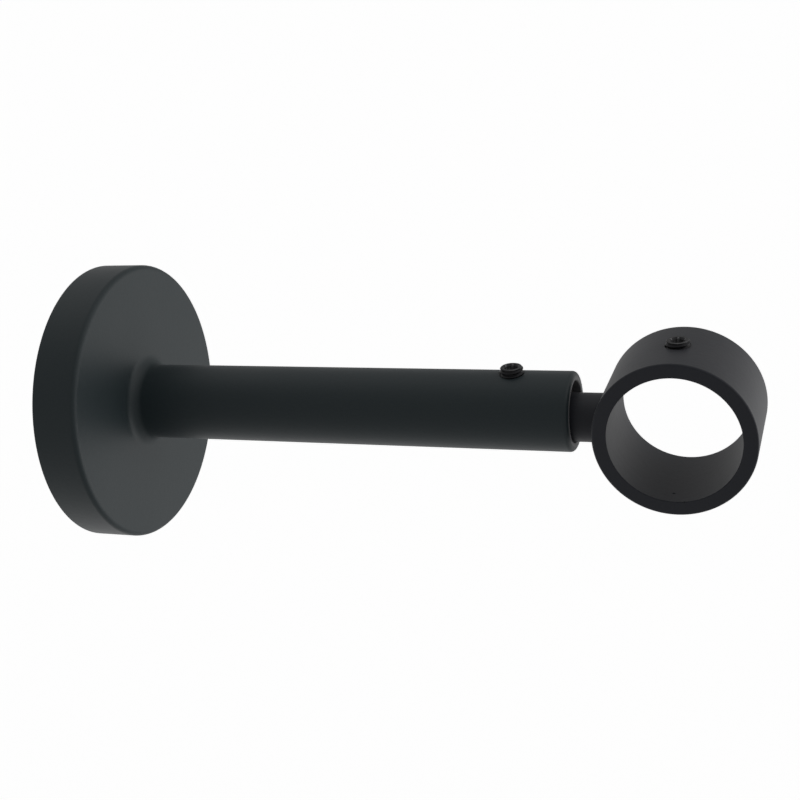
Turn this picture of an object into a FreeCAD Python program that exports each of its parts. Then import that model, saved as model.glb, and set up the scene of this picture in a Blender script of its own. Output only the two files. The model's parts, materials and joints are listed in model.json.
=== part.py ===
import FreeCAD, Part
import os

import Sketcher
from FreeCAD import Placement, Rotation, Vector

# Curtain pole bracket: a round rose with a hollow arm, a stem that slides and
# turns in the arm, and a ring that takes the pole. Millimetres.
# X runs from the wall (0) along the axis of the arm, Y along the pole, Z up.

document = FreeCAD.newDocument("curtain_pole_bracket")

# Driving dimensions, each written once, with the alias that formulas read it by
DIMENSIONS = [
    ("rose_diameter", 61.0, "outside of the round rose"),
    ("rose_depth", 10.2, "wall to the front face of the rose"),
    ("rose_rim_wall", 3.2, "thickness of the rim, threaded for the base screw"),
    ("rose_face_wall", 3.3, "thickness of the front face"),
    ("rose_edge_radius", 1.2, "rounding of the front edge"),
    ("foot_radius", 2.5, "cove where the arm grows out of the rose"),
    ("mouth_chamfer_share", 0.25, "chamfer round the arm's mouth, as a share of its wall"),
    ("edge_break", 0.3, "small chamfer on the other edges that show"),
    ("arm_reach", 107.8, "wall to the mouth of the arm"),
    ("arm_diameter", 16.4, "outside of the arm"),
    ("arm_bore", 12.5, "bore that the stem slides in"),
    ("lock_setback", 12.7, "mouth to the axis of the arm's grub screw"),
    ("plate_thickness", 5.0, "hidden plate that is screwed to the wall"),
    ("plate_gap", 0.3, "radial gap between the plate and the rim"),
    ("groove_position", 3.4, "wall to the middle of the plate's groove"),
    ("groove_depth", 1.2, "groove for the point of the base screw"),
    ("wall_hole_count", 3, "countersunk holes for the wall screws"),
    ("wall_hole_circle", 34.0, "circle through the centres of those holes"),
    ("wall_hole_diameter", 4.5, "clear hole for a 4 mm screw"),
    ("countersink_diameter", 8.8, "mouth of the countersink"),
    ("countersink_angle", 90.0, "full angle of the countersink, in degrees"),
    ("stem_diameter", 10.0, "round stem"),
    ("stem_fit", 0.05, "gap under the stem, which rests in the bottom of the bore"),
    ("stem_insertion", 64.0, "length of stem inside the arm"),
    ("stem_chamfer", 0.8, "lead-in at the inner end of the stem"),
    ("spigot_diameter", 6.0, "turned-down end of the stem, held in the ring"),
    ("spigot_length", 0.9, "shoulder to the end of the spigot"),
    ("spigot_fit", 0.05, "gap round the stem and its spigot in the ring"),
    ("stem_showing", 4.9, "mouth of the arm to the crown of the ring"),
    ("ring_bore", 25.9, "clear bore for a 25 mm pole"),
    ("ring_wall", 2.9, "wall of the ring"),
    ("ring_width", 20.4, "length of the ring along the pole"),
    ("seat_depth", 1.0, "flat seat for the stem, below the crown of the ring"),
    ("screw_diameter", 4.8, "thread of the three grub screws"),
    ("screw_fit", 0.05, "radial gap round a grub screw"),
    ("head_chamfer", 0.3, "chamfer round the socket end of a grub screw"),
    ("point_chamfer", 0.6, "chamfer round a flat point"),
    ("cone_tip_radius", 0.3, "flat on the cone point of the base screw"),
    ("socket_size", 2.5, "hexagon socket, across the flats"),
    ("socket_depth", 2.2, "depth of the hexagon socket"),
    ("arm_screw_length", 5.7, "grub screw that locks the stem"),
    ("ring_screw_length", 4.0, "grub screw that locks the pole"),
    ("base_screw_length", 4.0, "grub screw that locks the rose to its plate"),
    ("ring_screw_proud", 0.95, "top of the ring's screw above the ring"),
    ("seat_gap", 0.05, "gap between the point of a tight screw and its seat"),
]

sheet = document.addObject("Spreadsheet::Sheet", "sizes")
for row, (alias, number, meaning) in enumerate(DIMENSIONS, start=1):
    sheet.set("A%d" % row, meaning)
    sheet.set("B%d" % row, str(number))
    sheet.setAlias("B%d" % row, alias)
document.recompute()


# Formulas, read from the sheet

rose_radius = "(sizes.rose_diameter / 2)"
cavity_radius = f"({rose_radius} - sizes.rose_rim_wall)"
cavity_depth = "(sizes.rose_depth - sizes.rose_face_wall)"
arm_radius = "(sizes.arm_diameter / 2)"
bore_radius = "(sizes.arm_bore / 2)"
mouth_chamfer = f"(sizes.mouth_chamfer_share * ({arm_radius} - {bore_radius}))"
lock_position = "(sizes.arm_reach - sizes.lock_setback)"
plate_radius = f"({cavity_radius} - sizes.plate_gap)"
stem_radius = "(sizes.stem_diameter / 2)"
stem_drop = f"({bore_radius} - {stem_radius} - sizes.stem_fit)"
stem_start = "(sizes.arm_reach - sizes.stem_insertion)"
ring_bore_radius = "(sizes.ring_bore / 2)"
ring_radius = f"({ring_bore_radius} + sizes.ring_wall)"
projection = f"(sizes.arm_reach + sizes.stem_showing + {ring_radius})"
seat_radius = f"({stem_radius} + sizes.spigot_fit)"
seat_floor = f"(sizes.seat_depth - {ring_radius})"
stem_length = f"({projection} + {seat_floor} - {stem_start})"
spigot_radius = "(sizes.spigot_diameter / 2)"
spigot_hole_radius = f"({spigot_radius} + sizes.spigot_fit)"
spigot_floor = f"({seat_floor} + sizes.spigot_length + sizes.spigot_fit)"
screw_radius = "(sizes.screw_diameter / 2)"
screw_hole_radius = f"({screw_radius} + sizes.screw_fit)"


# Sketching

def value(text):
    """The number that a formula gives now."""
    return float(sheet.evalExpression(text))


def new_body(label):
    """An empty body whose label names the piece and its file."""
    body = document.addObject("PartDesign::Body", label)
    body.Label = label
    return body


def new_sketch(body, role, name, height=None):
    """A sketch on one of the body's own planes, or lifted from it by a formula."""
    sketch = body.newObject("Sketcher::SketchObject", name)
    plane = [feature for feature in body.Origin.OriginFeatures if feature.Role == role][0]
    sketch.AttachmentSupport = [(plane, "")]
    sketch.MapMode = "FlatFace"
    if height is not None:
        sketch.setExpression("AttachmentOffset.Base.z", height)
    return sketch


def bind(sketch, name, kind, where, text):
    """A dimension of the sketch that follows a formula."""
    index = sketch.addConstraint(Sketcher.Constraint(kind, *where, value(text)))
    sketch.renameConstraint(index, name)
    sketch.setExpression("Constraints." + name, text)


def place_point(sketch, name, point, across, up):
    """Puts a point of the sketch at two formulas; 0 keeps it on the axis."""
    origin = (-1, 1)
    for axis, kind, text in ((-2, "DistanceX", across), (-1, "DistanceY", up)):
        if text == "0":
            sketch.addConstraint(Sketcher.Constraint("PointOnObject", *point, axis))
        else:
            bind(sketch, name + kind[-1], kind, (*origin, *point), text)


def draw_outline(sketch, corners):
    """A closed outline of straight lines through corners given as formulas."""
    points = []
    for across, up in corners:
        points.append(Vector(value(across), value(up), 0))
    last = len(points) - 1
    for index, point in enumerate(points):
        following = points[0] if index == last else points[index + 1]
        sketch.addGeometry(Part.LineSegment(point, following), False)
    for index in range(len(points)):
        following = 0 if index == last else index + 1
        sketch.addConstraint(Sketcher.Constraint("Coincident", index, 2, following, 1))
    for index, (across, up) in enumerate(corners):
        place_point(sketch, "corner%d" % index, (index, 1), across, up)


def draw_circle(sketch, name, radius, across="0", up="0"):
    """A circle of a radius, about a centre given as formulas."""
    centre = Vector(value(across), value(up), 0)
    index = sketch.addGeometry(Part.Circle(centre, Vector(0, 0, 1), value(radius)), False)
    bind(sketch, name, "Radius", (index,), radius)
    place_point(sketch, name + "_centre", (index, 3), across, up)


# Features

def revolve(body, sketch, axis, kind="PartDesign::Revolution"):
    """Turns a sketch about one of its axes, as material or as a groove."""
    feature = body.newObject(kind, "turned")
    feature.Profile = sketch
    feature.ReferenceAxis = (sketch, [axis])
    feature.Angle = 360
    document.recompute()
    return feature


def drill(body, name, across, upwards):
    """A plain hole for a grub screw, from the middle of the body up or down."""
    sketch = new_sketch(body, "XY_Plane", name + "_place")
    draw_circle(sketch, "radius", screw_hole_radius, across)
    hole = body.newObject("PartDesign::Pocket", name)
    hole.Profile = sketch
    hole.Type = "ThroughAll"
    hole.Reversed = upwards
    document.recompute()


def circle_edges(body, places):
    """Names of the body's circular edges at the (axis, position, radius) places."""
    names = []
    for axis, position, radius in places:
        for index, edge in enumerate(body.Shape.Edges, start=1):
            curve = edge.Curve
            if not isinstance(curve, Part.Circle) or abs(curve.Axis[axis]) < 0.99:
                continue
            if abs(curve.Center[axis] - position) < 0.001 and abs(curve.Radius - radius) < 0.001:
                names.append("Edge%d" % index)
    return names


def soften(body, name, kind, size, places):
    """Rounds or chamfers the circular edges at the given places."""
    base = body.Tip
    edges = circle_edges(body, places)
    feature = body.newObject("PartDesign::" + kind, name)
    feature.Base = (base, edges)
    feature.setExpression("Radius" if kind == "Fillet" else "Size", size)
    document.recompute()


# Rose and arm: one casting, a hollow cup behind the front face and a bored arm

rose = new_body("rose_and_arm")
section = new_sketch(rose, "XZ_Plane", "rose_section")
draw_outline(section, [
    ("0", cavity_radius),
    (cavity_depth, cavity_radius),
    (cavity_depth, bore_radius),
    ("sizes.arm_reach", bore_radius),
    ("sizes.arm_reach", arm_radius),
    ("sizes.rose_depth", arm_radius),
    ("sizes.rose_depth", rose_radius),
    ("0", rose_radius),
])
revolve(rose, section, "H_Axis")
front = value("sizes.rose_depth")
mouth = value("sizes.arm_reach")
soften(rose, "foot_cove", "Fillet", "sizes.foot_radius", [(0, front, value(arm_radius))])
soften(rose, "front_edge", "Fillet", "sizes.rose_edge_radius", [(0, front, value(rose_radius))])
soften(rose, "mouth_edge", "Chamfer", mouth_chamfer, [(0, mouth, value(arm_radius))])
soften(rose, "mouth_lead_in", "Chamfer", "sizes.edge_break", [(0, mouth, value(bore_radius))])
drill(rose, "lock_hole", lock_position, upwards=True)
drill(rose, "base_hole", "sizes.groove_position", upwards=False)


# Wall plate: a round plate that the rose caps, with a groove for the base screw

plate = new_body("wall_plate")
outline = new_sketch(plate, "YZ_Plane", "plate_outline")
draw_circle(outline, "radius", plate_radius)
disc = plate.newObject("PartDesign::Pad", "disc")
disc.Profile = outline
disc.setExpression("Length", "sizes.plate_thickness")
document.recompute()
plate_front = value("sizes.plate_thickness")
soften(plate, "lead_in", "Chamfer", "sizes.edge_break", [(0, plate_front, value(plate_radius))])
groove_mouth = f"({plate_radius} + sizes.edge_break)"
groove_half_width = "(sizes.groove_depth + sizes.edge_break)"
vee = new_sketch(plate, "XZ_Plane", "groove_section")
draw_outline(vee, [
    (f"sizes.groove_position - {groove_half_width}", groove_mouth),
    ("sizes.groove_position", f"{plate_radius} - sizes.groove_depth"),
    (f"sizes.groove_position + {groove_half_width}", groove_mouth),
])
revolve(plate, vee, "H_Axis", "PartDesign::Groove")
hole_place = new_sketch(plate, "YZ_Plane", "hole_place", "sizes.plate_thickness")
draw_circle(hole_place, "radius", "(sizes.wall_hole_diameter / 2)", "0", "(sizes.wall_hole_circle / 2)")
document.recompute()
wall_hole = plate.newObject("PartDesign::Hole", "wall_hole")
wall_hole.Profile = hole_place
wall_hole.DepthType = "ThroughAll"
wall_hole.setExpression("Diameter", "sizes.wall_hole_diameter")
wall_hole.HoleCutType = "Countersink"
wall_hole.HoleCutCustomValues = True
wall_hole.setExpression("HoleCutDiameter", "sizes.countersink_diameter")
wall_hole.setExpression("HoleCutCountersinkAngle", "sizes.countersink_angle")
document.recompute()
wall_holes = plate.newObject("PartDesign::PolarPattern", "wall_holes")
wall_holes.Originals = [wall_hole]
wall_holes.Axis = (hole_place, ["N_Axis"])
wall_holes.Angle = 360
wall_holes.setExpression("Occurrences", "sizes.wall_hole_count")
plate.Tip = wall_holes
document.recompute()


# Stem: a turned rod with a spigot that is held in the ring

stem = new_body("stem")
shoulder_end = f"({stem_length} + sizes.spigot_length)"
turning = new_sketch(stem, "XZ_Plane", "stem_section")
draw_outline(turning, [
    ("0", "0"),
    ("0", f"({stem_radius} - sizes.stem_chamfer)"),
    ("sizes.stem_chamfer", stem_radius),
    (stem_length, stem_radius),
    (stem_length, spigot_radius),
    (shoulder_end, spigot_radius),
    (shoulder_end, "0"),
])
revolve(stem, turning, "H_Axis")
stem.setExpression("Placement.Base.x", stem_start)
stem.setExpression("Placement.Base.z", "-" + stem_drop)


# Pole ring: a length of thick tube, with a flat seat and a blind hole for the stem

ring = new_body("pole_ring")
ring_section = new_sketch(ring, "XZ_Plane", "ring_section")
draw_circle(ring_section, "outside", ring_radius)
draw_circle(ring_section, "bore", ring_bore_radius)
tube = ring.newObject("PartDesign::Pad", "tube")
tube.Profile = ring_section
tube.SideType = "Symmetric"
tube.setExpression("Length", "sizes.ring_width")
document.recompute()
half_width = value("sizes.ring_width / 2")
soften(ring, "outer_edges", "Chamfer", "sizes.edge_break", [
    (1, -half_width, value(ring_radius)),
    (1, half_width, value(ring_radius)),
])
seat_mouth = f"({seat_floor} - 2 * sizes.seat_depth)"
seat_section = new_sketch(ring, "XZ_Plane", "seat_section")
draw_outline(seat_section, [
    (seat_mouth, "0"),
    (seat_mouth, seat_radius),
    (seat_floor, seat_radius),
    (seat_floor, spigot_hole_radius),
    (spigot_floor, spigot_hole_radius),
    (spigot_floor, "0"),
])
revolve(ring, seat_section, "H_Axis", "PartDesign::Groove")
drill(ring, "pole_screw_hole", "0", upwards=True)
ring.setExpression("Placement.Base.x", projection)
ring.setExpression("Placement.Base.z", "-" + stem_drop)


# Grub screws: a turned blank with a flat or a cone point, and a hexagon socket

def grub_screw(label, length, tip_radius, chamfer):
    """A grub screw that stands on its point, with its socket at the top."""
    body = new_body(label)
    blank = new_sketch(body, "XZ_Plane", label + "_section")
    draw_outline(blank, [
        ("0", "0"),
        (tip_radius, "0"),
        (screw_radius, chamfer),
        (screw_radius, f"({length} - sizes.head_chamfer)"),
        (f"({screw_radius} - sizes.head_chamfer)", length),
        ("0", length),
    ])
    revolve(body, blank, "V_Axis")
    flat = "(sizes.socket_size / 2)"
    corner = "(sizes.socket_size / 2 / sqrt(3))"
    hexagon = new_sketch(body, "XY_Plane", label + "_hexagon", length)
    draw_outline(hexagon, [
        (flat, corner),
        ("0", f"(2 * {corner})"),
        (f"-{flat}", corner),
        (f"-{flat}", f"-{corner}"),
        ("0", f"-(2 * {corner})"),
        (flat, f"-{corner}"),
    ])
    socket = body.newObject("PartDesign::Pocket", label + "_socket")
    socket.Profile = hexagon
    socket.setExpression("Length", "sizes.socket_depth")
    document.recompute()
    return body


flat_point = f"({screw_radius} - sizes.point_chamfer)"
arm_screw = grub_screw("arm_lock_screw", "sizes.arm_screw_length", flat_point, "sizes.point_chamfer")
arm_screw.setExpression("Placement.Base.x", lock_position)
arm_screw.setExpression("Placement.Base.z", f"{stem_radius} - {stem_drop} + sizes.seat_gap")

ring_screw = grub_screw("ring_lock_screw", "sizes.ring_screw_length", flat_point, "sizes.point_chamfer")
ring_screw.setExpression("Placement.Base.x", projection)
ring_screw_base = f"{ring_radius} + sizes.ring_screw_proud - sizes.ring_screw_length - {stem_drop}"
ring_screw.setExpression("Placement.Base.z", ring_screw_base)

# The base screw points up into the groove, where its 90 degree cone meets both sides
cone_height = f"({screw_radius} - sizes.cone_tip_radius)"
cone_tip_height = f"({plate_radius} - sizes.groove_depth + sizes.cone_tip_radius + 2 * sizes.seat_gap)"
base_screw = grub_screw("base_lock_screw", "sizes.base_screw_length", "sizes.cone_tip_radius", cone_height)
base_screw.Placement = Placement(Vector(0, 0, 0), Rotation(Vector(1, 0, 0), 180))
base_screw.setExpression("Placement.Base.x", "sizes.groove_position")
base_screw.setExpression("Placement.Base.z", "-" + cone_tip_height)
document.recompute()


# Checks and export

for thing in document.Objects:
    if "Invalid" in thing.State or "Error" in thing.State:
        raise RuntimeError("%s: %s" % (thing.Label, thing.State))

pieces = [rose, plate, stem, ring, arm_screw, ring_screw, base_screw]
for piece in pieces:
    if piece.Shape.isNull() or not piece.Shape.isValid() or len(piece.Shape.Solids) != 1:
        raise RuntimeError("%s is not one valid solid" % piece.Label)

os.makedirs("parts", exist_ok=True)
for piece in pieces:
    piece.Shape.exportStep("parts/%s.step" % piece.Label)
    box = piece.Shape.optimalBoundingBox(False, False)
    print("%-16s volume %9.1f mm3  X %7.2f to %7.2f  Y %7.2f to %7.2f  Z %7.2f to %7.2f" % (
        piece.Label, piece.Shape.Volume, box.XMin, box.XMax, box.YMin, box.YMax, box.ZMin, box.ZMax))
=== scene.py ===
import json
import math

import bmesh
import bpy
from mathutils import Matrix, Vector

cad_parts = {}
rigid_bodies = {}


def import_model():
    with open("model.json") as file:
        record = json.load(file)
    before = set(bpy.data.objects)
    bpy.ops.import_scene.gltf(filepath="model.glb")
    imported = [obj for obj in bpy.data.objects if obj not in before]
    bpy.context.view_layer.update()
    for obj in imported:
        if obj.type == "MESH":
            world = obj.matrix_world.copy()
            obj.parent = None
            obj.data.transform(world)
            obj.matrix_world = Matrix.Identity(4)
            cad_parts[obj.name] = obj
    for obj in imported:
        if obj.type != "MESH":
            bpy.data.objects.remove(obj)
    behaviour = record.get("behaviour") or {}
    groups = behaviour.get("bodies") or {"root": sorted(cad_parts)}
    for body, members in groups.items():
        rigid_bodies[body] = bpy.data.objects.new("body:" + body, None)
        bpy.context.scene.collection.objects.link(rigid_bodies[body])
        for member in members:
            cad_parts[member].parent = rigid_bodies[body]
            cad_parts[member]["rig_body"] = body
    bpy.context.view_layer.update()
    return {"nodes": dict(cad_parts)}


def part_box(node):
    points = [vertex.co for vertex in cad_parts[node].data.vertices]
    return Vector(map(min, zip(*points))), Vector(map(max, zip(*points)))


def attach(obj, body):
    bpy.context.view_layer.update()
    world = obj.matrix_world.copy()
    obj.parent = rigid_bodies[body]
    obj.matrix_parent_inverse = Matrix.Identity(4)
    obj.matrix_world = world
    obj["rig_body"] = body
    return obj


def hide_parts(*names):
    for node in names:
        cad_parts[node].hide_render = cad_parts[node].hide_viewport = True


# Curtain pole bracket, in metres: X from the wall along the arm, Y along the pole, Z up
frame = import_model()


# Wall plate
# A round steel plate that is screwed to the wall and hidden by the rose. It is turned,
# with a V groove for the point of the base screw, and countersunk for three wall screws.

MM = 0.001
plate_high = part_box("wall_plate")[1]
plate_radius = plate_high.z
plate_thickness = plate_high.x
plate_edge = 0.3 * MM
groove_place = 3.4 * MM
groove_depth = 1.2 * MM
groove_bottom_radius = 0.1 * MM
wall_hole_count = 3
wall_hole_circle_radius = 17 * MM
wall_hole_radius = 2.25 * MM
countersink_radius = 4.4 * MM
cutter_overrun = 1 * MM
along_x = Matrix.Rotation(math.radians(90), 4, "Y")
coarse_turn = 96
fine_turn = 256
crease_angle = math.radians(38)
coat_grain_per_metre = 3400
coat_peel_per_metre = 780
patches_per_metre = 70
bloom_spread = 0.4


def rounded(corners, steps=6):
    """Points of a closed outline from its corners, each (along, out, radius of its rounding)."""
    points = []
    for index, (along, out, radius) in enumerate(corners):
        corner = Vector((along, out))
        if radius == 0:
            points.append(corner)
            continue
        before = (Vector(corners[index - 1][:2]) - corner).normalized()
        after = (Vector(corners[(index + 1) % len(corners)][:2]) - corner).normalized()
        half = before.angle(after) / 2
        centre = corner + (before + after).normalized() * (radius / math.sin(half))
        start = corner + before * (radius / math.tan(half)) - centre
        end = corner + after * (radius / math.tan(half)) - centre
        turn = start.angle(end)
        for step in range(steps + 1):
            share = step / steps
            spoke = start * math.sin((1 - share) * turn) + end * math.sin(share * turn)
            points.append(centre + spoke / math.sin(turn))
    return points


def turned(outline, around, placement):
    """A mesh turned on a lathe from a closed outline of (along, out) points."""
    shape = bmesh.new()
    rings = []
    for along, out in outline:
        count = 1 if out == 0 else around
        angles = [2 * math.pi * step / around for step in range(count)]
        rings.append([
            shape.verts.new((out * math.cos(angle), out * math.sin(angle), along)) for angle in angles
        ])
    for index, ring in enumerate(rings):
        previous = rings[index - 1]
        for step in range(around):
            corners = [
                previous[step % len(previous)],
                previous[(step + 1) % len(previous)],
                ring[(step + 1) % len(ring)],
                ring[step % len(ring)],
            ]
            corners = list(dict.fromkeys(corners))
            if len(corners) > 2:
                shape.faces.new(corners)
    bmesh.ops.recalc_face_normals(shape, faces=shape.faces)
    shape.transform(placement)
    mesh = bpy.data.meshes.new("turned")
    shape.to_mesh(mesh)
    shape.free()
    return mesh


def cut(mesh, cutters):
    """The mesh with the cutters' meshes taken out of it."""
    blank = bpy.data.objects.new("blank", mesh)
    tools = [bpy.data.objects.new("tool", cutter) for cutter in cutters]
    for thing in [blank, *tools]:
        bpy.context.scene.collection.objects.link(thing)
    for tool in tools:
        boolean = blank.modifiers.new("cut", "BOOLEAN")
        boolean.operation = "DIFFERENCE"
        boolean.solver = "EXACT"
        boolean.object = tool
    evaluated = blank.evaluated_get(bpy.context.evaluated_depsgraph_get())
    finished = bpy.data.meshes.new_from_object(evaluated)
    for thing in [blank, *tools]:
        bpy.data.objects.remove(thing)
    return finished


def place(name, mesh, node, material):
    """Puts a mesh in the scene in place of its CAD node, smooth but for its creases."""
    mesh.materials.clear()
    mesh.materials.append(material)
    mesh.shade_smooth()
    mesh.set_sharp_from_angle(angle=crease_angle)
    piece = bpy.data.objects.new(name, mesh)
    bpy.context.scene.collection.objects.link(piece)
    evener = piece.modifiers.new("even_shading", "WEIGHTED_NORMAL")
    evener.keep_sharp = True
    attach(piece, frame["nodes"][node]["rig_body"])
    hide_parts(node)


def link(tree, start, start_socket, end, end_socket):
    """Joins an output of one node to an input of another."""
    tree.links.new(start.outputs[start_socket], end.inputs[end_socket])


def coat_grain_group():
    """A shader group: the grain and orange peel of a sprayed coat, and broad patches in it."""
    group = bpy.data.node_groups.new("coat_grain", "ShaderNodeTree")
    for name in ("Grain per metre", "Peel per metre", "Patches per metre", "Grain height", "Peel height"):
        group.interface.new_socket(name, in_out="INPUT", socket_type="NodeSocketFloat")
    group.interface.new_socket("Patches", in_out="OUTPUT", socket_type="NodeSocketFloat")
    group.interface.new_socket("Grain", in_out="OUTPUT", socket_type="NodeSocketFloat")
    group.interface.new_socket("Normal", in_out="OUTPUT", socket_type="NodeSocketVector")
    given = group.nodes.new("NodeGroupInput")
    result = group.nodes.new("NodeGroupOutput")
    place_on_piece = group.nodes.new("ShaderNodeTexCoord")
    noises = {}
    for name, detail in (("Grain", 2), ("Peel", 1), ("Patches", 3)):
        noise = group.nodes.new("ShaderNodeTexNoise")
        noise.inputs["Detail"].default_value = detail
        link(group, place_on_piece, "Object", noise, "Vector")
        link(group, given, f"{name} per metre", noise, "Scale")
        noises[name] = noise
    link(group, noises["Patches"], "Fac", result, "Patches")
    link(group, noises["Grain"], "Fac", result, "Grain")
    bumps = []
    for name in ("Peel", "Grain"):
        bump = group.nodes.new("ShaderNodeBump")
        bump.inputs["Strength"].default_value = 1
        link(group, noises[name], "Fac", bump, "Height")
        link(group, given, f"{name} height", bump, "Distance")
        bumps.append(bump)
    link(group, bumps[0], "Normal", bumps[1], "Normal")
    link(group, bumps[1], "Normal", result, "Normal")
    return group


coat_grain = coat_grain_group()


def new_finish(name):
    """A new material, with its node tree and its shader."""
    material = bpy.data.materials.new(name)
    material.use_nodes = True
    return material, material.node_tree, material.node_tree.nodes["Principled BSDF"]


def add_grain(tree, shader, grain_per_metre, peel_per_metre, grain_height, peel_height, smooth, rough):
    """Lets a shader's relief and dullness follow the coat's grain, and gives the grain's node."""
    grain = tree.nodes.new("ShaderNodeGroup")
    grain.node_tree = coat_grain
    grain.inputs["Grain per metre"].default_value = grain_per_metre
    grain.inputs["Peel per metre"].default_value = peel_per_metre
    grain.inputs["Patches per metre"].default_value = patches_per_metre
    grain.inputs["Grain height"].default_value = grain_height
    grain.inputs["Peel height"].default_value = peel_height
    dullness = tree.nodes.new("ShaderNodeMapRange")
    dullness.inputs["To Min"].default_value = smooth
    dullness.inputs["To Max"].default_value = rough
    link(tree, grain, "Patches", dullness, "Value")
    link(tree, dullness, "Result", shader, "Roughness")
    link(tree, grain, "Normal", shader, "Normal")
    return grain


def colour_between(tree, shader, mask, mask_socket, dark, light):
    """Gives a shader a colour that goes from dark to light as a mask goes from 0 to 1."""
    colour = tree.nodes.new("ShaderNodeMix")
    colour.data_type = "RGBA"
    colour.inputs["A"].default_value = (*dark, 1)
    colour.inputs["B"].default_value = (*light, 1)
    link(tree, mask, mask_socket, colour, "Factor")
    link(tree, colour, "Result", shader, "Base Color")


def coated(name, dark, light, smooth, rough, grain_height, peel_height, bloom):
    """A black coat: its colour, roughness and relief vary a little, and it blooms at low angles."""
    material, tree, shader = new_finish(name)
    grain = add_grain(
        tree, shader, coat_grain_per_metre, coat_peel_per_metre, grain_height, peel_height, smooth, rough,
    )
    colour_between(tree, shader, grain, "Grain", dark, light)
    shader.inputs["Sheen Weight"].default_value = bloom
    shader.inputs["Sheen Roughness"].default_value = bloom_spread
    return material


plate_mesh = turned(rounded([
    (0, 0, 0),
    (0, plate_radius, plate_edge),
    (groove_place - groove_depth, plate_radius, 0),
    (groove_place, plate_radius - groove_depth, groove_bottom_radius),
    (groove_place + groove_depth, plate_radius, 0),
    (plate_thickness, plate_radius, plate_edge),
    (plate_thickness, 0, 0),
]), fine_turn, along_x)
countersink_floor = plate_thickness - (countersink_radius - wall_hole_radius)
wall_hole = turned([
    (-cutter_overrun, 0),
    (-cutter_overrun, wall_hole_radius),
    (countersink_floor, wall_hole_radius),
    (plate_thickness, countersink_radius),
    (plate_thickness + cutter_overrun, countersink_radius + cutter_overrun),
    (plate_thickness + cutter_overrun, 0),
], coarse_turn, Matrix.Translation((0, 0, wall_hole_circle_radius)) @ along_x)
wall_holes = []
for hole in range(wall_hole_count):
    drilled = wall_hole.copy()
    drilled.transform(Matrix.Rotation(2 * math.pi * hole / wall_hole_count, 4, "X"))
    wall_holes.append(drilled)
plate_paint = coated(
    "thin_black_paint", dark=(0.020, 0.020, 0.021), light=(0.045, 0.045, 0.047),
    smooth=0.42, rough=0.6, grain_height=0.006 * MM, peel_height=0.008 * MM, bloom=0,
)
place("fixing_plate", cut(plate_mesh, wall_holes), "wall_plate", plate_paint)


# Rose and arm
# One casting: a hollow round rose that caps the plate, and the bored arm that grows out
# of it in a small cove. It is powder coated in a fine matt black, edges and all.

rose_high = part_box("rose_and_arm")[1]
arm_reach = rose_high.x
rose_radius = rose_high.z
rose_depth = 10.2 * MM
rose_edge = 1.2 * MM
rose_back_edge = 0.25 * MM
hollow_radius = 27.3 * MM
hollow_depth = 6.9 * MM
hollow_corner = 0.8 * MM
foot_cove = 2.5 * MM
arm_radius = 8.2 * MM
arm_bore_radius = 6.25 * MM
mouth_edge = 0.9 * MM
mouth_inner_edge = 0.3 * MM
# How far out from the bore the painted highlight on the arm's mouth is full, and where it fades out
highlight_full_reach = 0.7 * MM
highlight_fade_from = 1.2 * MM
arm_screw_place = 95.1 * MM
base_screw_place = groove_place
screw_hole_radius = 2.45 * MM
screw_hole_chamfer = 0.3 * MM
fine_rounding = 8

casting_blank = turned(rounded([
    (0, hollow_radius, rose_back_edge),
    (0, rose_radius, rose_back_edge),
    (rose_depth, rose_radius, rose_edge),
    (rose_depth, arm_radius, foot_cove),
    (arm_reach, arm_radius, mouth_edge),
    (arm_reach, arm_bore_radius, mouth_inner_edge),
    (hollow_depth, arm_bore_radius, rose_back_edge),
    (hollow_depth, hollow_radius, hollow_corner),
], fine_rounding), fine_turn, along_x)


def screw_hole(floor, crown, placement):
    """A cutter for a grub screw's hole, from the floor up, chamfered where it meets the crown."""
    return turned([
        (floor, 0),
        (floor, screw_hole_radius),
        (crown - screw_hole_chamfer, screw_hole_radius),
        (crown + cutter_overrun, screw_hole_radius + screw_hole_chamfer + cutter_overrun),
        (crown + cutter_overrun, 0),
    ], coarse_turn, placement)


def powder_coated(name, dark, light, bloom):
    """The powder coat of the visible pieces: they share its grain and its dullness."""
    return coated(
        name, dark, light,
        smooth=0.40, rough=0.47, grain_height=0.014 * MM, peel_height=0.018 * MM, bloom=bloom,
    )


def painted_mouth_highlight(material, highlight_colour):
    """Lightens the coat in the arm's bore and round its mouth: a painted highlight where the mouth's face
    and edges catch the light.
    """
    tree = material.node_tree
    base_colour = tree.nodes["Principled BSDF"].inputs["Base Color"]
    coat_colour = base_colour.links[0].from_socket
    place_on_piece = tree.nodes.new("ShaderNodeTexCoord")
    across = tree.nodes.new("ShaderNodeVectorMath")
    across.operation = "MULTIPLY"
    across.inputs[1].default_value = (0, 1, 1)
    link(tree, place_on_piece, "Object", across, 0)
    from_axis = tree.nodes.new("ShaderNodeVectorMath")
    from_axis.operation = "LENGTH"
    link(tree, across, "Vector", from_axis, 0)
    # Mask of the painted highlight: full near the bore, fading out further from the arm's axis
    highlight_mask = tree.nodes.new("ShaderNodeMapRange")
    highlight_mask.inputs["From Min"].default_value = arm_bore_radius + highlight_fade_from
    highlight_mask.inputs["From Max"].default_value = arm_bore_radius + highlight_full_reach
    link(tree, from_axis, "Value", highlight_mask, "Value")
    highlighted = tree.nodes.new("ShaderNodeMix")
    highlighted.data_type = "RGBA"
    highlighted.inputs["B"].default_value = (*highlight_colour, 1)
    link(tree, highlight_mask, "Result", highlighted, "Factor")
    tree.links.new(coat_colour, highlighted.inputs["A"])
    tree.links.new(highlighted.outputs["Result"], base_colour)


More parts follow.
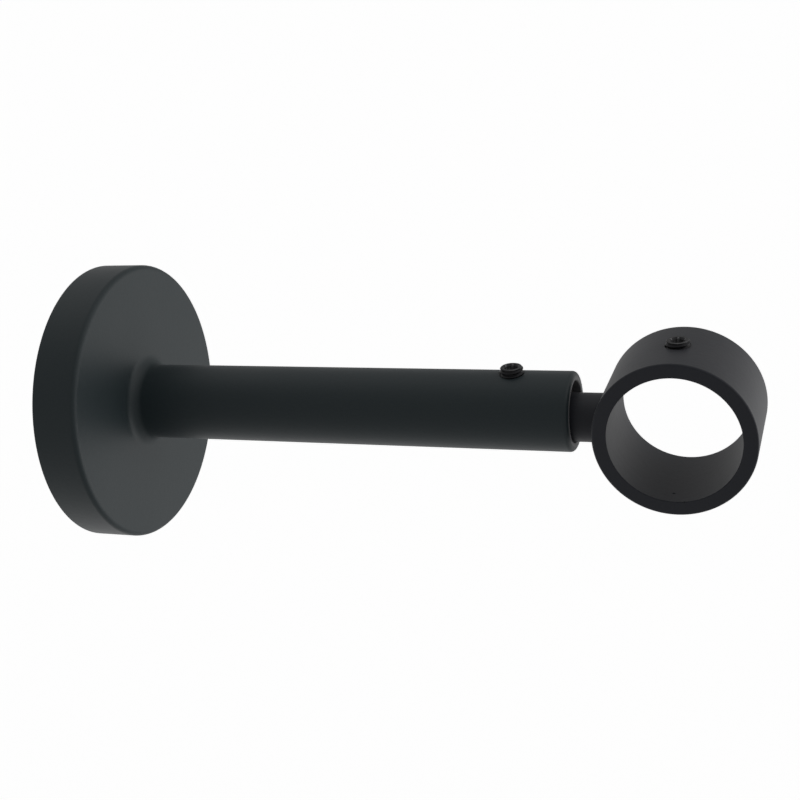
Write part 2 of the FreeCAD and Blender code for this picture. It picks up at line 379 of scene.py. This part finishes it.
casting_coat = powder_coated(
    "black_powder_coat", dark=(0.013, 0.0245, 0.0285), light=(0.023, 0.035, 0.0395), bloom=0.1,
)
# A painted highlight, light grey, on the arm's mouth and in its bore
painted_mouth_highlight(casting_coat, highlight_colour=(0.23, 0.23, 0.235))
upside_down = Matrix.Rotation(math.pi, 4, "X")
base_screw_axis = Matrix.Translation((base_screw_place, 0, 0)) @ upside_down
inside_hollow = hollow_radius / 2
casting = cut(casting_blank, [
    screw_hole(0, arm_radius, Matrix.Translation((arm_screw_place, 0, 0))),
    screw_hole(inside_hollow, rose_radius, base_screw_axis),
])
place("rose_with_arm", casting, "rose_and_arm", casting_coat)


# Base screw
# A blackened steel grub screw in the rim of the rose, below. Its thread is rolled, and its
# cone point stands in the groove of the wall plate, so that it pulls the rose to the wall.

screw_radius = 2.4 * MM
thread_pitch = 0.8 * MM
thread_depth = 0.3 * MM
thread_crest_share = 0.12
thread_flank_share = 0.66
rows_per_pitch = 18
screw_turn = 96
head_chamfer = 0.3 * MM
socket_sides = 6
socket_flat = 2.5 * MM
socket_depth = 2.2 * MM
socket_mouth = 0.18 * MM
drill_half_angle = math.radians(59)
cone_tip_radius = 0.3 * MM
# Where the screws' sharpest edges begin and end lightening: partly wear, partly a painted highlight
wear_and_highlight_from_pointiness = 0.53
wear_and_highlight_at_pointiness = 0.62


def thread_cut(along, angle):
    """How deep the thread is cut at a place on the screw, from 0 at a crest to 1 at a root."""
    phase = (along / thread_pitch - angle / (2 * math.pi)) % 1
    from_crest = abs(phase - 0.5) * 2
    return min(1, max(0, (from_crest - thread_crest_share) / thread_flank_share))


def grub_screw(length, tip_radius, point_height, placement):
    """A threaded mesh that stands on its point, with a hexagon socket in its top."""
    shape = bmesh.new()
    rows = math.ceil(length / thread_pitch * rows_per_pitch)
    point_slope = (screw_radius - tip_radius) / point_height
    rings = []
    for row in range(rows + 1):
        along = length * row / rows
        widest = min(
            screw_radius,
            tip_radius + along * point_slope,
            screw_radius - head_chamfer + (length - along),
        )
        ring = []
        for step in range(screw_turn):
            angle = 2 * math.pi * step / screw_turn
            out = min(widest, screw_radius - thread_depth * thread_cut(along, angle))
            ring.append(shape.verts.new((out * math.cos(angle), out * math.sin(angle), along)))
        rings.append(ring)
    for lower, upper in zip(rings, rings[1:]):
        for step in range(screw_turn):
            following = (step + 1) % screw_turn
            shape.faces.new((lower[step], lower[following], upper[following], upper[step]))
    shape.faces.new(reversed(rings[0]))
    shape.faces.new(rings[-1])
    blank = bpy.data.meshes.new("blank")
    shape.to_mesh(blank)
    shape.free()
    half_side = math.pi / socket_sides
    corner_radius = socket_flat / 2 / math.cos(half_side)
    drill_tip = socket_flat / 2 / math.tan(drill_half_angle)
    socket = turned([
        (length - socket_depth, 0),
        (length - socket_depth, corner_radius),
        (length + cutter_overrun, corner_radius),
        (length + cutter_overrun, 0),
    ], socket_sides, Matrix.Rotation(half_side, 4, "Z"))
    drilling = turned([
        (length - socket_depth - drill_tip, 0),
        (length - socket_depth, socket_flat / 2),
        (length - socket_depth + drill_tip, socket_flat / 2),
        (length - socket_depth + drill_tip, 0),
    ], screw_turn, Matrix.Identity(4))
    mouth_radius = corner_radius + socket_mouth
    lead_in = turned([
        (length - mouth_radius, 0),
        (length + cutter_overrun, mouth_radius + cutter_overrun),
        (length + cutter_overrun, 0),
    ], screw_turn, Matrix.Identity(4))
    mesh = cut(blank, [socket, drilling, lead_in])
    mesh.transform(placement)
    return mesh


def blackened_steel():
    """Oiled black steel, lighter on its highest edges: partly bare from wear, partly a painted highlight.
    """
    material, tree, shader = new_finish("blackened_steel")
    shader.inputs["Metallic"].default_value = 0.35
    shader.inputs["Specular IOR Level"].default_value = 0.3
    add_grain(
        tree, shader, grain_per_metre=5200, peel_per_metre=1500,
        grain_height=0.005 * MM, peel_height=0.006 * MM, smooth=0.24, rough=0.34,
    )
    # The sharpest edges are lighter: partly bare steel from wear, partly a painted highlight
    form = tree.nodes.new("ShaderNodeNewGeometry")
    wear_and_highlight = tree.nodes.new("ShaderNodeMapRange")
    wear_and_highlight.inputs["From Min"].default_value = wear_and_highlight_from_pointiness
    wear_and_highlight.inputs["From Max"].default_value = wear_and_highlight_at_pointiness
    link(tree, form, "Pointiness", wear_and_highlight, "Value")
    colour_between(tree, shader, wear_and_highlight, "Result", dark=(0.016, 0.016, 0.018), light=(0.22, 0.22, 0.225))
    return material


steel = blackened_steel()
base_low, base_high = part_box("base_lock_screw")
base_placement = Matrix.Translation((base_screw_place, 0, base_high.z)) @ upside_down
base_mesh = grub_screw(
    base_high.z - base_low.z, cone_tip_radius, screw_radius - cone_tip_radius, base_placement,
)
place("base_grub_screw", base_mesh, "base_lock_screw", steel)


# Stem
# A round rod that slides in the arm and rests in the bottom of its bore. It is coated with
# the ring, in a black a little less cool than the casting's, and its spigot is held there.

stem_low, stem_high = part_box("stem")
stem_radius = (stem_high.z - stem_low.z) / 2
stem_axis = (stem_high.z + stem_low.z) / 2
stem_lead_in = 0.8 * MM
stem_end_edge = 0.2 * MM
stem_lead_edge = 0.3 * MM
spigot_radius = 3.0 * MM
spigot_length = 0.9 * MM
stem_shoulder = stem_high.x - spigot_length
stem_mesh = turned(rounded([
    (stem_low.x, 0, 0),
    (stem_low.x, stem_radius - stem_lead_in, stem_end_edge),
    (stem_low.x + stem_lead_in, stem_radius, stem_lead_edge),
    (stem_shoulder, stem_radius, 0),
    (stem_shoulder, spigot_radius, 0),
    (stem_high.x, spigot_radius, 0),
    (stem_high.x, 0, 0),
]), fine_turn, Matrix.Translation((0, 0, stem_axis)) @ along_x)
ring_coat = powder_coated(
    "black_ring_coat", dark=(0.010, 0.012, 0.019), light=(0.019, 0.0215, 0.030), bloom=0.19,
)
place("sliding_stem", stem_mesh, "stem", ring_coat)


# Pole ring
# A short length of thick tube that the pole goes through, coated like the stem. A flat
# seat is milled in its side for the end of the stem, and a hole is tapped in its top. Two
# small nicks show low in its bore.

ring_low, ring_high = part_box("pole_ring")
ring_centre_x = (ring_low.x + ring_high.x) / 2
ring_radius = (ring_high.x - ring_low.x) / 2
ring_bore_radius = 12.95 * MM
ring_half_width = ring_high.y
ring_outer_edge = 0.45 * MM
ring_inner_edge = 0.2 * MM
seat_depth = 1.0 * MM
seat_radius = 5.04 * MM
nick_radius = 0.3 * MM
nick_half_depth = 0.1 * MM
nick_slant = 0.04 * MM
nick_sides = 10
nick_places = [
    (-0.82 * MM, -6.62 * MM, -12.95 * MM),
    (1.65 * MM, -10.20 * MM, -12.90 * MM),
]
along_y = Matrix.Rotation(math.radians(-90), 4, "X")
ring_centre = Matrix.Translation((ring_centre_x, 0, stem_axis))
ring_blank = turned(rounded([
    (-ring_half_width, ring_bore_radius, ring_inner_edge),
    (-ring_half_width, ring_radius, ring_outer_edge),
    (ring_half_width, ring_radius, ring_outer_edge),
    (ring_half_width, ring_bore_radius, ring_inner_edge),
]), fine_turn, ring_centre @ along_y)
seat_floor = ring_low.x + seat_depth
seat = turned([
    (ring_low.x - cutter_overrun, 0),
    (ring_low.x - cutter_overrun, seat_radius),
    (seat_floor, seat_radius),
    (seat_floor, 0),
], fine_turn, Matrix.Translation((0, 0, stem_axis)) @ along_x)
nick_outline = [
    (-nick_half_depth, 0),
    (-nick_half_depth + nick_slant, nick_radius),
    (nick_half_depth - nick_slant, nick_radius),
    (nick_half_depth, 0),
]
nicks = [
    turned(nick_outline, nick_sides, ring_centre @ Matrix.Translation(nick_place))
    for nick_place in nick_places
]
ring_mesh = cut(ring_blank, [seat, screw_hole(0, ring_radius, ring_centre), *nicks])
place("pole_holder_ring", ring_mesh, "pole_ring", ring_coat)


# Ring screw and arm screw
# Two more grub screws with flat points. The short one holds the pole in the ring, and the
# long one locks the stem in the arm. Both stand a little proud, their threads showing.

flat_point = 0.6 * MM
for name, node in (("ring_grub_screw", "ring_lock_screw"), ("arm_grub_screw", "arm_lock_screw")):
    low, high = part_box(node)
    screw_foot = Matrix.Translation(((low.x + high.x) / 2, 0, low.z))
    screw_mesh = grub_screw(high.z - low.z, screw_radius - flat_point, flat_point, screw_foot)
    place(name, screw_mesh, node, steel)


# Studio
# A plain pale floor well below the bracket, soft light from both ends of the room, and the
# camera where it stood for the photograph.

floor_drop = 0.32
floor_half = 30.0
floor_glow = 0.64
floor_mesh = bpy.data.meshes.new("pale_floor")
floor_corners = [(-1, -1), (1, -1), (1, 1), (-1, 1)]
floor_mesh.from_pydata(
    [(x * floor_half, y * floor_half, -floor_drop) for x, y in floor_corners], [], [(0, 1, 2, 3)],
)
floor = bpy.data.objects.new("pale_floor", floor_mesh)
bpy.context.scene.collection.objects.link(floor)
floor.visible_glossy = False
floor.visible_diffuse = False
floor.visible_shadow = False
floor_paint = bpy.data.materials.new("pale_floor")
floor_paint.use_nodes = True
floor_shader = floor_paint.node_tree.nodes["Principled BSDF"]
floor_shader.inputs["Base Color"].default_value = (0.9, 0.9, 0.9, 1)
floor_shader.inputs["Roughness"].default_value = 1
floor_shader.inputs["Emission Color"].default_value = (1, 1, 1, 1)
floor_shader.inputs["Emission Strength"].default_value = floor_glow
floor_mesh.materials.append(floor_paint)

fill_light = 0.29
# Each lamp: azimuth and elevation in degrees, how sharply it falls off, and its strength
soft_lamps = [
    (25, -15, 7, 1.50),
    (10, 45, 7, 0.54),
    (150, 60, 7, 0.29),
    (160, -45, 3, 0.56),
]
world = bpy.data.worlds.new("studio")
bpy.context.scene.world = world
world.use_nodes = True
sky = world.node_tree
sky.nodes.clear()
direction = sky.nodes.new("ShaderNodeTexCoord")
total = sky.nodes.new("ShaderNodeValue")
total.outputs[0].default_value = fill_light
for lamp_azimuth, lamp_elevation, sharpness, strength in soft_lamps:
    tilt = math.radians(lamp_elevation)
    turn = math.radians(lamp_azimuth)
    facing = sky.nodes.new("ShaderNodeVectorMath")
    facing.operation = "DOT_PRODUCT"
    facing.inputs[1].default_value = (
        math.cos(turn) * math.cos(tilt),
        math.sin(turn) * math.cos(tilt),
        math.sin(tilt),
    )
    link(sky, direction, "Generated", facing, 0)
    falling_off = sky.nodes.new("ShaderNodeMath")
    falling_off.operation = "MULTIPLY_ADD"
    falling_off.inputs[1].default_value = sharpness
    falling_off.inputs[2].default_value = -sharpness
    link(sky, facing, "Value", falling_off, 0)
    glow = sky.nodes.new("ShaderNodeMath")
    glow.operation = "EXPONENT"
    link(sky, falling_off, 0, glow, 0)
    added = sky.nodes.new("ShaderNodeMath")
    added.operation = "MULTIPLY_ADD"
    added.inputs[1].default_value = strength
    link(sky, glow, 0, added, 0)
    link(sky, total, 0, added, 2)
    total = added
lighting = sky.nodes.new("ShaderNodeBackground")
link(sky, total, 0, lighting, "Strength")
backdrop = sky.nodes.new("ShaderNodeBackground")
backdrop.inputs["Color"].default_value = (1, 1, 1, 1)
ray = sky.nodes.new("ShaderNodeLightPath")
seen_or_lighting = sky.nodes.new("ShaderNodeMixShader")
world_output = sky.nodes.new("ShaderNodeOutputWorld")
link(sky, ray, "Is Camera Ray", seen_or_lighting, "Fac")
link(sky, lighting, 0, seen_or_lighting, 1)
link(sky, backdrop, 0, seen_or_lighting, 2)
link(sky, seen_or_lighting, 0, world_output, "Surface")
bpy.context.scene.view_settings.view_transform = "Standard"

camera_azimuth = math.radians(21.246)
camera_elevation = math.radians(22.398)
camera_roll = math.radians(-7.065)
camera_distance = 0.280259
looked_at = Vector((0.070304, 0, 0.001617))
back = Vector((
    math.sin(camera_azimuth) * math.cos(camera_elevation),
    -math.cos(camera_azimuth) * math.cos(camera_elevation),
    math.sin(camera_elevation),
))
level = Vector((math.cos(camera_azimuth), math.sin(camera_azimuth), 0))
upright = back.cross(level)
right = level * math.cos(camera_roll) + upright * math.sin(camera_roll)
up = upright * math.cos(camera_roll) - level * math.sin(camera_roll)
lens = bpy.data.cameras.new("camera")
lens.sensor_width = 36
lens.lens = 59.900
lens.clip_start = 0.01
lens.clip_end = 100
camera = bpy.data.objects.new("camera", lens)
bpy.context.scene.collection.objects.link(camera)
aim = Matrix((right, up, back)).transposed().to_4x4()
camera.matrix_world = Matrix.Translation(looked_at + back * camera_distance) @ aim
bpy.context.scene.camera = camera
